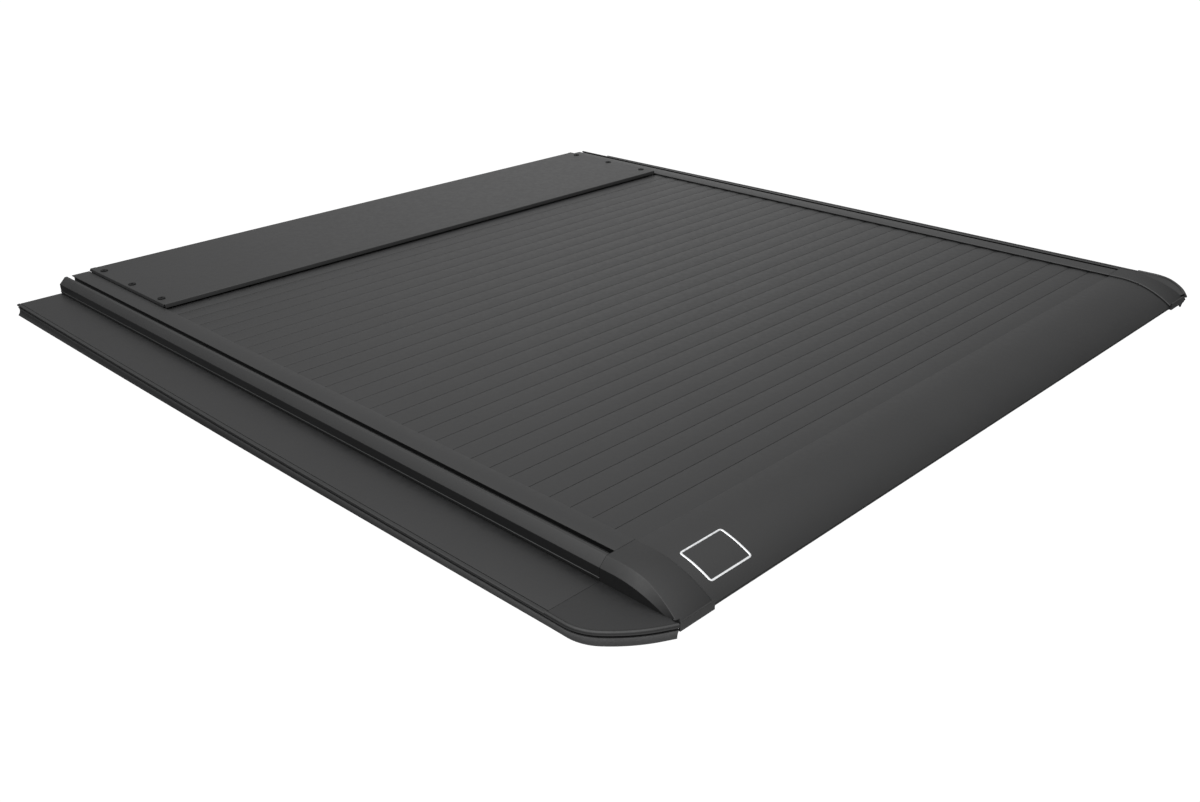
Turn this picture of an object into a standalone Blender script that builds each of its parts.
"""Retractable slatted tonneau cover for a pickup bed, as an assembly of separate pieces.

Row frame: +X to the right, +Y towards the cab, +Z up. The origin is the middle of the header
angle's underside, on the plane of the truck's bed rails, where the cover rests on the bulkhead.
Every size below is in millimetres. Lengths along Y start at the rear seam, where the rails end,
and heights start at the rails' top face; at() turns them into metres in the row frame.
"""

import math

import bmesh
import bpy
from mathutils import Vector

# Driving dimensions
RAIL_LENGTH = 1515.0
ORIGIN_Y = 1538.0  # from the rear seam forward to the row's origin
SEAT = -34.0  # plane of the truck's bed rails
LIP_EDGE = 683.0  # inner edge of a rail
SLOT_MIDDLE = 725.0
SLOT_HALF_MOUTH = 4.3  # for M8 T-bolts
SLOT_HALF_CAVITY = 9.0
LIP = 3.2
WALL_OUT = 747.0  # outer wall of a rail
CHAMFER = 12.0
CHANNEL_FLOOR = -14.5
CHANNEL_WALL = 705.0
FLANGE_TOP = -31.0
FLANGE_EDGE = 836.0
FLANGE_BOW = 3.5
REAR_FLARE = 3.6
SKIRT_FOOT = -54.0
GAP = 0.3

SLAT_PITCH = 40.0
SLAT_PAIRS = 15
SLAT_HALF = 702.0
SLAT_TOP = -3.6
SLAT_DEPTH = 10.0
SLAT_SKIN = 2.0
HINGE_RADIUS = 2.0
HINGE_AHEAD = 2.8  # a hinge bead's centre, forward of its joint line
HINGE_DOWN = 6.0

REAR_BEND_START = -22.0
REAR_RADIUS = 175.3
CAP_END = -122.4
PANEL_END = -125.4
PANEL_HALF = 682.0
PANEL_TOP = -3.0
PANEL_SKIN = 3.0
CAP_SKIN = 3.0
CORNER_ARCS = ((70.0, 0.0, 40.0, 5), (200.0, 40.0, 62.0, 4))  # radius, headings in degrees, steps
CORNER_RUN_OUT = 12.0
BEAD_WIDTH = 3.2
BEAD_HEIGHT = 1.4

LID_HALF = 680.0
LID_TOP = 6.0
LID_SHEET = 2.0
LID_REAR = 1200.5
TRAY_REAR, TRAY_FRONT = 1208.0, 1510.0
TRAY_BOTTOM = -174.0
TRAY_SHEET = 2.0
TRAY_BEND = 4.0
TRAY_HALF = 704.5
SCREW_X = 669.5
SCREW_YS = (1236.0, 1355.0, 1476.0)

DRUM = (1429.0, -93.0)
DRUM_RADIUS = 32.0
AXLE_RADIUS = 8.0
STRAP = 1.4

ROD = (-16.0, -10.0)
ROD_RADIUS = 3.5
PADDLE_PIVOT = (-40.0, -40.0)
CLAMP_YS = {"rear": 220.0, "front": 1000.0}
CLAMP_BOLT_X = 735.0

BLACK = (0.028, 0.029, 0.031)
SIDES = {"left": -1, "right": 1}


def at(x, y, z):
    """Millimetres from the rear seam and the rail top, as metres in the row frame."""
    return Vector((x, y - ORIGIN_Y, z - SEAT)) * 0.001


def paint(obj, colour, roughness, metallic=0.0):
    name = f"{obj.name}_finish"
    material = bpy.data.materials.new(name)
    material.use_nodes = True
    shader = material.node_tree.nodes["Principled BSDF"]
    shader.inputs["Base Color"].default_value = (*colour, 1)
    shader.inputs["Roughness"].default_value = roughness
    shader.inputs["Metallic"].default_value = metallic
    obj.data.materials.append(material)


def solid(name, points, faces, sharp=30):
    """A mesh object from points in at()'s millimetres, with its faces turned outwards."""
    mesh = bpy.data.meshes.new(name)
    mesh.from_pydata([at(*p) for p in points], [], faces)
    shape = bmesh.new()
    shape.from_mesh(mesh)
    bmesh.ops.recalc_face_normals(shape, faces=shape.faces)
    shape.to_mesh(mesh)
    shape.free()
    mesh.shade_smooth()
    mesh.set_sharp_from_angle(angle=math.radians(sharp))
    obj = bpy.data.objects.new(name, mesh)
    bpy.context.collection.objects.link(obj)
    return obj


def loft(name, rings, closed=False):
    """Joins rings of equally many points. Open lofts get a flat cap at each end."""
    count = len(rings[0])
    last = len(rings) if closed else len(rings) - 1
    faces = []
    for i in range(last):
        here, there = i * count, (i + 1) % len(rings) * count
        for j in range(count):
            k = (j + 1) % count
            faces.append((here + j, here + k, there + k, there + j))
    if not closed:
        faces.append(tuple(range(count)))
        faces.append(tuple(range((len(rings) - 1) * count, len(rings) * count)))
    return solid(name, [p for ring in rings for p in ring], faces)


def prism_x(name, outline, x0, x1):
    return loft(name, [[(x, y, z) for y, z in outline] for x in (x0, x1)])


def prism_y(name, outline, y0, y1, side=1):
    return loft(name, [[(side * x, y, z) for x, z in outline] for y in (y0, y1)])


def prism_z(name, outline, z0, z1, side=1):
    return loft(name, [[(side * x, y, z) for x, y in outline] for z in (z0, z1)])


def box(name, low, high):
    (x0, y0, z0), (x1, y1, z1) = low, high
    return prism_x(name, [(y0, z0), (y1, z0), (y1, z1), (y0, z1)], x0, x1)


def side_box(name, side, xs, ys, zs):
    """A box on one side of the cover, from distances that count outwards from its middle."""
    x0, x1 = sorted((side * xs[0], side * xs[1]))
    return box(name, (x0, ys[0], zs[0]), (x1, ys[1], zs[1]))


def turned(name, start, along, profile, sides=16, closed=False):
    """A turned piece: profile holds (distance along the axis, radius). A closed one has a bore."""
    along = Vector(along)
    across = along.orthogonal().normalized()
    other = along.cross(across)
    rings = []
    for distance, radius in profile:
        turns = [2 * math.pi * i / sides for i in range(sides)]
        spokes = [across * math.cos(t) + other * math.sin(t) for t in turns]
        rings.append([Vector(start) + along * distance + spoke * radius for spoke in spokes])
    return loft(name, rings, closed)


def combine(target, other, operation):
    other.hide_render = True
    other.display_type = "WIRE"
    modifier = target.modifiers.new(other.name, "BOOLEAN")
    modifier.operation = operation
    modifier.object = other


def cut(target, cutter):
    combine(target, cutter, "DIFFERENCE")


def add(target, other):
    combine(target, other, "UNION")


def arc(centre, radius, start, end, steps):
    """Points on a circle from one angle to another, in degrees."""
    turns = [math.radians(start + (end - start) * i / steps) for i in range(steps + 1)]
    return [(centre[0] + radius * math.cos(t), centre[1] + radius * math.sin(t)) for t in turns]


# Rails, flanges, corner caps and skirts


def rail(word, side):
    half, wide, depth = SLOT_HALF_MOUTH, SLOT_HALF_CAVITY, 11.0
    slot = [
        (SLOT_MIDDLE - half, 0),
        (SLOT_MIDDLE - half, -LIP + 0.2),
        (SLOT_MIDDLE - wide, -LIP + 0.2),
        (SLOT_MIDDLE - wide, -depth),
        (SLOT_MIDDLE + wide, -depth),
        (SLOT_MIDDLE + wide, -LIP + 0.2),
        (SLOT_MIDDLE + half, -LIP + 0.2),
        (SLOT_MIDDLE + half, 0),
    ]
    outer_wall = [
        (734, 0),
        (735.3, -1.2),
        (WALL_OUT, -CHAMFER),
        (WALL_OUT, SEAT),
        (724, SEAT),
        (724, FLANGE_TOP),
        (744, FLANGE_TOP),
        (744, -14),
    ]
    clamp_leg = [(708.5, -14), (708.5, -58), (716, -58), (716, -62), (CHANNEL_WALL, -62)]
    channel = [
        (CHANNEL_WALL, -17.5),
        (LIP_EDGE, -17.5),
        (LIP_EDGE, CHANNEL_FLOOR),
        (CHANNEL_WALL, CHANNEL_FLOOR),
        (CHANNEL_WALL, -LIP),
        (LIP_EDGE, -LIP),
    ]
    outline = [(LIP_EDGE, 0), *slot, *outer_wall, *clamp_leg, *channel]
    body = prism_y(f"{word}_rail", outline, 0, RAIL_LENGTH, side)
    # Past the lid's lip the channel has no floor, so that the slats can leave it for the drum.
    way_down = [
        (680, -LIP),
        (CHANNEL_WALL, -LIP),
        (CHANNEL_WALL, -14),
        (722, -14),
        (722, -64),
        (680, -64),
    ]
    cut(body, prism_y(f"{word}_rail_way_down", way_down, 1204, RAIL_LENGTH + 5, side))
    paint(body, BLACK, 0.45, 0.3)


def flange_edge(y):
    """The flange's outer edge: a slight bow, and a little wider at the tailgate."""
    part = y / RAIL_LENGTH
    return FLANGE_EDGE + REAR_FLARE * (1 - part) + FLANGE_BOW * math.sin(math.pi * part)


def side_flange(word, side):
    rings = []
    for i in range(9):
        y = GAP + (RAIL_LENGTH - GAP) * i / 8
        edge = flange_edge(y)
        outline = [
            (WALL_OUT + 0.5, SEAT),
            (WALL_OUT + 0.5, FLANGE_TOP),
            (edge - 1.5, FLANGE_TOP),
            (edge, FLANGE_TOP - 1.2),
            (edge, SEAT),
        ]
        rings.append([(side * x, y, z) for x, z in outline])
    paint(loft(f"{word}_side_flange", rings), BLACK, 0.5)


def corner_outline():
    """(x, y, heading) along the corner's outer edge: straight, two arcs, straight."""
    x, y = FLANGE_EDGE + REAR_FLARE, -30.0
    points = [(x, 0.0, 0.0), (x, y, 0.0)]
    for radius, start, end, steps in CORNER_ARCS:
        for i in range(steps):
            a0, a1 = (math.radians(start + (end - start) * (i + k) / steps) for k in (0, 1))
            x -= radius * (math.cos(a0) - math.cos(a1))
            y -= radius * (math.sin(a1) - math.sin(a0))
            points.append((x, y, a1))
    last = points[-1][2]
    run = CORNER_RUN_OUT
    points.append((x - run * math.sin(last), y - run * math.cos(last), last))
    return points


def cap_height(y, drop=0.0):
    """Height of the cap's top, or of a surface that lies drop below it."""
    if y > REAR_BEND_START:
        return -drop
    radius = REAR_RADIUS - drop
    return -REAR_RADIUS + math.sqrt(radius**2 - (y - REAR_BEND_START) ** 2)


def chamfer_drop(y):
    """How far the crescent's lower edge lies below the cap's top."""
    return CHAMFER * math.sqrt(max(1 - (y / CAP_END) ** 5, 0))


def chamfer_width(y):
    return CHAMFER * min(1, (y - CAP_END) / 62.4)


def corner_cap(word, side):
    stations = [-0.15, -12, -22, -34, -46, -58, -70, -82, -93, -103, -111, -117, CAP_END]
    rings = []
    for y in stations:
        top = cap_height(y)
        edge = WALL_OUT - chamfer_width(y)
        outline = [
            (LIP_EDGE, SEAT - 1),
            (LIP_EDGE, top),
            (edge - 1, top),
            (edge, top - 0.5),
            (WALL_OUT, min(top - 0.6, top - chamfer_drop(y))),
            (WALL_OUT, SEAT - 1),
        ]
        rings.append([(side * x, y, z) for x, z in outline])
    body = loft(f"{word}_corner_cap", rings)
    core = []
    for y in [-3.15, *stations[1:-1], CAP_END + CAP_SKIN]:
        top = cap_height(y, CAP_SKIN)
        outline = [
            (LIP_EDGE + CAP_SKIN, -70),
            (LIP_EDGE + CAP_SKIN, top),
            (WALL_OUT - chamfer_width(y) - 2, top),
            (WALL_OUT - CAP_SKIN, top - chamfer_drop(y)),
            (WALL_OUT - CAP_SKIN, -70),
        ]
        core.append([(side * x, y, z) for x, z in outline])
    cut(body, loft(f"{word}_corner_cap_core", core))
    channel = [(LIP_EDGE - 3, -15), (LIP_EDGE - 3, -4.5), (CHANNEL_WALL, -4.5), (CHANNEL_WALL, -15)]
    cut(body, prism_y(f"{word}_corner_cap_channel", channel, -60, 5, side))
    below = side_box(f"{word}_corner_cap_trim", side, (600, 900), (-200, 50), (-80, SEAT))
    cut(body, below)
    edge = [(x, y) for x, y, _ in corner_outline()]
    inner = [(WALL_OUT - 2, -121), (WALL_OUT - 2, -0.15)]
    plate = [(x, min(y, -0.15)) for x, y in edge]
    add(body, prism_z(f"{word}_corner_cap_plate", [*inner, *plate], SEAT, FLANGE_TOP, side))
    rim = []
    for x, y, heading in corner_outline():
        inward = min(y, -0.15) + BEAD_WIDTH * math.sin(heading)
        rim.append((x - BEAD_WIDTH * math.cos(heading), inward))
    bead = [*plate, *reversed(rim)]
    add(body, prism_z(f"{word}_corner_cap_bead", bead, SEAT + 1, FLANGE_TOP + BEAD_HEIGHT, side))
    lip = [(LIP_EDGE, -44), (LIP_EDGE, -30), (744, -30), (744, -44)]
    add(body, prism_y(f"{word}_corner_cap_lip", lip, CAP_END, CAP_END + CAP_SKIN, side))
    paint(body, BLACK, 0.5)


def edge_skirt(word, side):
    """Rubber section swept along the flange's edge and round the corner."""
    path = []
    for i in range(8):
        y = RAIL_LENGTH * (1 - i / 8)
        path.append((flange_edge(y), y, 0.0))
    path += [(x, y, a) for x, y, a in corner_outline()]
    rings = []
    for x, y, heading in path:
        foot = -7 + 8.5 * max(y, 0) / RAIL_LENGTH
        section = [
            (-16, SEAT - GAP),
            (-5, SEAT - GAP),
            (-5, -37.2),
            (-1.5, -37.8),
            (-4.5, -42),
            (foot * 0.5 - 3, -48),
            (foot, SKIRT_FOOT + 1),
            (foot - 0.5, SKIRT_FOOT),
            (foot - 3, SKIRT_FOOT),
            (-8.5, -47),
            (-8.5, -41),
            (-16, -38),
        ]
        out = (math.cos(heading), -math.sin(heading))
        rings.append([(side * (x + n * out[0]), y + n * out[1], z) for n, z in section])
    paint(loft(f"{word}_edge_skirt", rings), (0.02, 0.02, 0.021), 0.7)


# Curtain


def hinge_bead(front, top):
    """The neck and round bead on a slat's front edge, from the underside of the neck up."""
    centre = (front + HINGE_AHEAD, top - HINGE_DOWN)
    face = front - 0.4
    return [
        (face, top - 6.8),
        *arc(centre, HINGE_RADIUS, 204, 516, 9),
        (face, top - 5.2),
    ]


def slat_outline(rear, count, bead=True):
    """Section of count slats in one extrusion, whose rear joint line is at rear."""
    top, skin, low = SLAT_TOP, SLAT_TOP - SLAT_SKIN, SLAT_TOP - SLAT_DEPTH
    crown = []
    for i in range(count):
        u = rear + i * SLAT_PITCH
        first = [(u + 0.4, top - 1), (u + 1.2, top - 0.3)] if i == 0 else [(u + 1, top - 0.3)]
        crown += [*first, (u + 12, top), (u + 28, top)]
        if i < count - 1:
            crown += [(u + 39, top - 0.3), (u + 39.7, top - 1.6), (u + 40.3, top - 1.6)]
    front = rear + count * SLAT_PITCH
    crown += [(front - 1.2, top - 0.3), (front - 0.4, top - 1)]
    joint = list(reversed(hinge_bead(front, top))) if bead else []
    under = [(front - 0.4, low), (front - 4.5, low), (front - 4.5, skin)]
    for i in range(count - 1, 0, -1):
        u = rear + i * SLAT_PITCH
        under += [(u + 4, skin), (u + 4, low), (u - 4, low), (u - 4, skin)]
    under += [(rear + 8.5, skin), (rear + 8.5, low), (rear + 2.2, low)]
    socket = arc((rear + HINGE_AHEAD, top - HINGE_DOWN), HINGE_RADIUS + 0.6, 240, 480, 8)
    return [*crown, *joint, *under, *socket, (rear + 0.4, top - 2.6)]


def slats():
    for i in range(SLAT_PAIRS):
        outline = slat_outline(2 * i * SLAT_PITCH, 2)
        name = f"slat_pair_{i + 1:02d}"
        paint(prism_x(name, outline, -SLAT_HALF, SLAT_HALF), BLACK, 0.42, 0.3)
    outline = slat_outline(2 * SLAT_PAIRS * SLAT_PITCH, 1, bead=False)
    paint(prism_x("leader_slat", outline, -SLAT_HALF, SLAT_HALF), BLACK, 0.42, 0.3)


def rear_arc(drop, steps=10):
    """(y, z) down the rear bend at a given depth below the caps' top."""
    ys = [REAR_BEND_START + (PANEL_END - REAR_BEND_START) * i / steps for i in range(steps + 1)]
    return [(y, cap_height(y, drop)) for y in ys]


def rear_panel():
    top = SLAT_TOP
    outline = [
        (-6, PANEL_TOP - PANEL_SKIN),
        (-6, top - SLAT_DEPTH),
        (-0.4, top - SLAT_DEPTH),
        *hinge_bead(0, top),
        (-0.4, top),
        (-1.4, PANEL_TOP),
        *rear_arc(-PANEL_TOP),
        *reversed(rear_arc(-PANEL_TOP + PANEL_SKIN)),
    ]
    body = prism_x("rear_panel", outline, -PANEL_HALF, PANEL_HALF)
    for word, side in SIDES.items():
        add(body, side_box(f"{word}_panel_ear", side, (660, 701), (-50, -30), (-13.6, -6)))
        for x in (400, 640):
            name = f"{word}_rod_guide_{x}"
            add(body, side_box(name, side, (x - 5, x + 5), (-22, -10), (-16, -5.8)))
        start = (side * 390, *ROD)
        hole = turned(f"{word}_rod_hole", start, (side, 0, 0), [(0, 3.8), (260, 3.8)])
        cut(body, hole)
    paint(body, BLACK, 0.48)


def rear_seal():
    stem = [(-101, -26.3), (-107, -29.6)]
    bulb = arc((-104, -36.5), 6.5, 120, 420, 10)
    paint(prism_x("rear_seal", [*bulb, *stem], -675, 675), (0.02, 0.02, 0.02), 0.75)


# Lock


def lock_housing():
    body = box("lock_housing", (-80, -52, -34), (80, -6, -9.5))
    cut(body, box("lock_housing_inside", (-77, -49, -31), (77, -9, 0)))
    cut(body, box("lock_housing_rod_way", (-85, -20.5, -14), (85, -11.5, 0)))
    cut(body, box("lock_housing_arm_way", (-8, -46, -36), (8, -24, -30)))
    for x in (-66, 66):
        add(body, box(f"paddle_lug_{x}", (x - 4, -46, -45), (x + 4, -34, -32)))
    pin = turned("paddle_pin_hole", (-75, *PADDLE_PIVOT), (1, 0, 0), [(0, 2.3), (150, 2.3)])
    cut(body, pin)
    paint(body, (0.03, 0.03, 0.03), 0.55)


def release_paddle():
    y, z = PADDLE_PIVOT
    profile = [(0, 2), (8, 2), (8, 5), (131, 5), (131, 2), (139, 2)]
    body = turned("release_paddle", (-69.5, y, z), (1, 0, 0), profile)
    plate = [(y - 1, z + 2), (y + 1, z - 3), (y - 34, z - 26), (y - 38, z - 25), (y - 37, z - 22)]
    add(body, prism_x("paddle_plate", plate, -58, 58))
    add(body, box("paddle_arm", (-5, y - 2, z + 2), (5, y + 2, z + 23)))
    paint(body, (0.03, 0.03, 0.03), 0.5)
    return body


def latch_rod(word, side):
    profile = [(0, ROD_RADIUS), (667, ROD_RADIUS), (670, ROD_RADIUS - 1.5)]
    rod = turned(f"{word}_latch_rod", (side * 30, *ROD), (side, 0, 0), profile, sides=12)
    paint(rod, (0.55, 0.56, 0.58), 0.35, 1.0)
    return rod


# Canister


def canister_lid():
    outline = [
        (LID_REAR + 5.5, -1),
        (LID_REAR, LID_TOP - 0.8),
        (LID_REAR + 1, LID_TOP),
        (TRAY_FRONT + 0.6, LID_TOP),
        (TRAY_FRONT + 1.8, LID_TOP - 1.2),
        (TRAY_FRONT + 1.8, -14),
        (TRAY_FRONT + GAP, -14),
        (TRAY_FRONT + GAP, LID_TOP - LID_SHEET),
        (LID_REAR + 3.6, LID_TOP - LID_SHEET),
        (LID_REAR + 7.4, -0.6),
    ]
    body = prism_x("canister_lid", outline, -LID_HALF, LID_HALF)
    for word, side in SIDES.items():
        xs = (LID_HALF - LID_SHEET, LID_HALF)
        ys = (LID_REAR + 2, TRAY_FRONT + 1)
        add(body, side_box(f"{word}_lid_side", side, xs, ys, (-1, LID_TOP - 1)))
        for i, y in enumerate(SCREW_YS):
            start = (side * SCREW_X, y, 0)
            cut(body, turned(f"{word}_lid_hole_{i}", start, (0, 0, 1), [(0, 3.2), (12, 3.2)]))
    paint(body, BLACK, 0.4, 0.3)


def lid_fixings(word, side):
    xs = (658, LID_HALF - LID_SHEET - GAP)
    bar = side_box(f"{word}_lid_bar", side, xs, (1212, 1507), (-2.5, 3.7))
    profile = [(-1.5, 2.5), (6.4, 2.5), (6.4, 7), (7, 7), (7.8, 5.5)]
    for y, place in zip(SCREW_YS, ("rear", "middle", "front")):
        start = (side * SCREW_X, y, 0)
        hole = turned(f"{word}_{place}_bar_hole", start, (0, 0, 1), [(-4, 2.9), (5, 2.9)])
        cut(bar, hole)
        screw = turned(f"{word}_{place}_lid_screw", start, (0, 0, 1), profile)
        paint(screw, (0.03, 0.03, 0.03), 0.45, 0.5)
    paint(bar, (0.5, 0.5, 0.52), 0.4, 1.0)


def canister_section(inset):
    """Rear wall, rounded bottom and front wall of the tray, inset from its outside."""
    rear, front, bottom = TRAY_REAR + inset, TRAY_FRONT - inset, TRAY_BOTTOM + inset
    radius = TRAY_BEND - inset
    return [
        *arc((rear + radius, bottom + radius), radius, 180, 270, 3),
        *arc((front - radius, bottom + radius), radius, 270, 360, 3),
    ]


def canister_tray():
    outside = [(TRAY_REAR, -18), *canister_section(0), (TRAY_FRONT, -3.5)]
    inside = [(TRAY_REAR + TRAY_SHEET, -18), *canister_section(TRAY_SHEET)]
    inside.append((TRAY_FRONT - TRAY_SHEET, -3.5))
    body = prism_x("canister_tray", [*outside, *reversed(inside)], -TRAY_HALF, TRAY_HALF)
    for word, side in SIDES.items():
        start = (side * 650, 1480, TRAY_BOTTOM - 5)
        cut(body, turned(f"{word}_drain_hole", start, (0, 0, 1), [(0, 6.3), (10, 6.3)]))
        spout = [(10.3 - 1.5, 4), (10.3 - 1.5, 10), (7.3, 10), (7.3, 6), (-13, 6), (-13, 4)]
        drain = turned(f"{word}_drain_spout", start, (0, 0, 1), spout, sides=12, closed=True)
        paint(drain, (0.03, 0.03, 0.03), 0.6)
    paint(body, BLACK, 0.5, 0.3)


def canister_end(word, side):
    inner, outer = TRAY_HALF + GAP, TRAY_HALF + GAP + 3
    outline = [(TRAY_REAR, -14.3), *canister_section(0), (TRAY_FRONT, -14.3)]
    ends = sorted((side * inner, side * outer))
    body = prism_x(f"{word}_canister_end", outline, *ends)
    start = (side * (inner - 5), *DRUM)
    cut(body, turned(f"{word}_axle_hole", start, (side, 0, 0), [(0, 8.3), (15, 8.3)]))
    paint(body, BLACK, 0.5, 0.3)


def header():
    rear = TRAY_FRONT + GAP
    angle = [
        (rear, -60),
        (rear + 3, -60),
        (rear + 3, SEAT),
        (ORIGIN_Y + 22, SEAT),
        (ORIGIN_Y + 22, FLANGE_TOP),
        (rear, FLANGE_TOP),
    ]
    paint(prism_x("header_angle", angle, -690, 690), BLACK, 0.5, 0.3)
    front = ORIGIN_Y + 22 + GAP
    bulb = [(front, -38), (front, -30.5), *arc((front + 4, -31), 4, 90, 0, 3), (front + 8, -37)]
    paint(prism_x("bulkhead_seal", bulb, -690, 690), (0.02, 0.02, 0.02), 0.75)


# Drum


def drum():
    start = (0, *DRUM)
    half, plate = 690.0, 6.0
    bore, inside = 14.3, DRUM_RADIUS - 3
    profile = [
        (-half, DRUM_RADIUS),
        (half, DRUM_RADIUS),
        (half, bore),
        (half - plate, bore),
        (half - plate, inside),
        (plate - half, inside),
        (plate - half, bore),
        (-half, bore),
    ]
    tube = turned("drum_tube", start, (1, 0, 0), profile, sides=24, closed=True)
    paint(tube, (0.6, 0.6, 0.62), 0.4, 1.0)
    turning = [tube]
    for word, side in SIDES.items():
        bore_radius = AXLE_RADIUS + GAP
        ring = [(half - 14, bore_radius), (half + 4, bore_radius), (half + 4, 14), (half - 14, 14)]
        bush = turned(f"{word}_drum_bush", start, (side, 0, 0), ring, closed=True)
        paint(bush, (0.75, 0.74, 0.7), 0.5)
        turning.append(bush)
    ends = TRAY_HALF + 8
    axle = turned("drum_axle", start, (1, 0, 0), [(-ends, AXLE_RADIUS), (ends, AXLE_RADIUS)])
    paint(axle, (0.5, 0.51, 0.53), 0.35, 1.0)
    return turning


def torsion_spring():
    turns, steps, coil, wire, length = 12, 10, 20.0, 2.0, 160.0
    rings = []
    for i in range(turns * steps + 1):
        angle = 2 * math.pi * i / steps
        along = -length / 2 + length * i / (turns * steps)
        out = Vector((0, math.cos(angle), math.sin(angle)))
        centre = Vector((along, *DRUM)) + out * coil
        corners = [math.tau * (k + 0.5) / 5 for k in range(5)]
        rings.append(
            [centre + (out * math.cos(c) + Vector((1, 0, 0)) * math.sin(c)) * wire for c in corners]
        )
    paint(loft("torsion_spring", rings), (0.45, 0.45, 0.47), 0.4, 1.0)


def leader_strap():
    """Web from the leader slat's front edge to the drum, which it half wraps."""
    front, height = 2 * SLAT_PAIRS * SLAT_PITCH + SLAT_PITCH, SLAT_TOP - 5
    reach, rise = DRUM[0] - front, height - DRUM[1]
    radius = DRUM_RADIUS + GAP
    outer, inner = [], []
    for line, r in ((outer, radius + STRAP), (inner, radius)):
        toward = math.degrees(math.atan2(-rise, reach) + math.asin(r / math.hypot(reach, rise)))
        line += [(front, height + (STRAP if line is outer else 0) - 0.7)]
        line += arc(DRUM, r, toward + 90, -120, 20)
    strap = prism_x("leader_strap", [*outer, *reversed(inner)], -300, 300)
    paint(strap, (0.05, 0.05, 0.055), 0.9)


# Bed clamps


def bed_clamp(place, side):
    """A J-shaped clamp that hooks over the rail's clamp ledge, and its bolt."""
    word = "left" if side < 0 else "right"
    y = CLAMP_YS[place]
    hook = [
        (709, -57.6),
        (716.4, -57.6),
        (716.4, -92),
        (746, -92),
        (746, -84),
        (723, -84),
        (723, -52),
        (709, -52),
    ]
    body = prism_y(f"{place}_{word}_bed_clamp", hook, y - 20, y + 20, side)
    start = (side * CLAMP_BOLT_X, y, -104)
    cut(body, turned(f"{place}_{word}_clamp_thread", start, (0, 0, 1), [(8, 4.4), (24, 4.4)]))
    paint(body, (0.5, 0.5, 0.52), 0.45, 1.0)
    profile = [(0, 8), (6, 8), (6, 4), (60, 4), (60, 9), (64, 9)]
    bolt = turned(f"{place}_{word}_clamp_bolt", start, (0, 0, 1), profile, sides=12)
    paint(bolt, (0.55, 0.56, 0.58), 0.35, 1.0)


def rig(name, pivot, pieces):
    """Hangs the pieces on an empty that stands on their joint's axis."""
    empty = bpy.data.objects.new(f"{name}_axis", None)
    empty.location = at(*pivot)
    bpy.context.collection.objects.link(empty)
    for piece in pieces:
        for vertex in piece.data.vertices:
            vertex.co -= empty.location
        piece.parent = empty


def main():
    for obj in list(bpy.data.objects):
        bpy.data.objects.remove(obj)
    for word, side in SIDES.items():
        rail(word, side)
        side_flange(word, side)
        corner_cap(word, side)
        edge_skirt(word, side)
        lid_fixings(word, side)
        canister_end(word, side)
        for place in CLAMP_YS:
            bed_clamp(place, side)
        rod = latch_rod(word, side)
        rig(f"{word}_latch", (side * 30, *ROD), [rod])
    slats()
    rear_panel()
    rear_seal()
    lock_housing()
    rig("paddle", (0, *PADDLE_PIVOT), [release_paddle()])
    canister_lid()
    canister_tray()
    header()
    torsion_spring()
    leader_strap()
    rig("drum", (0, *DRUM), drum())


main()
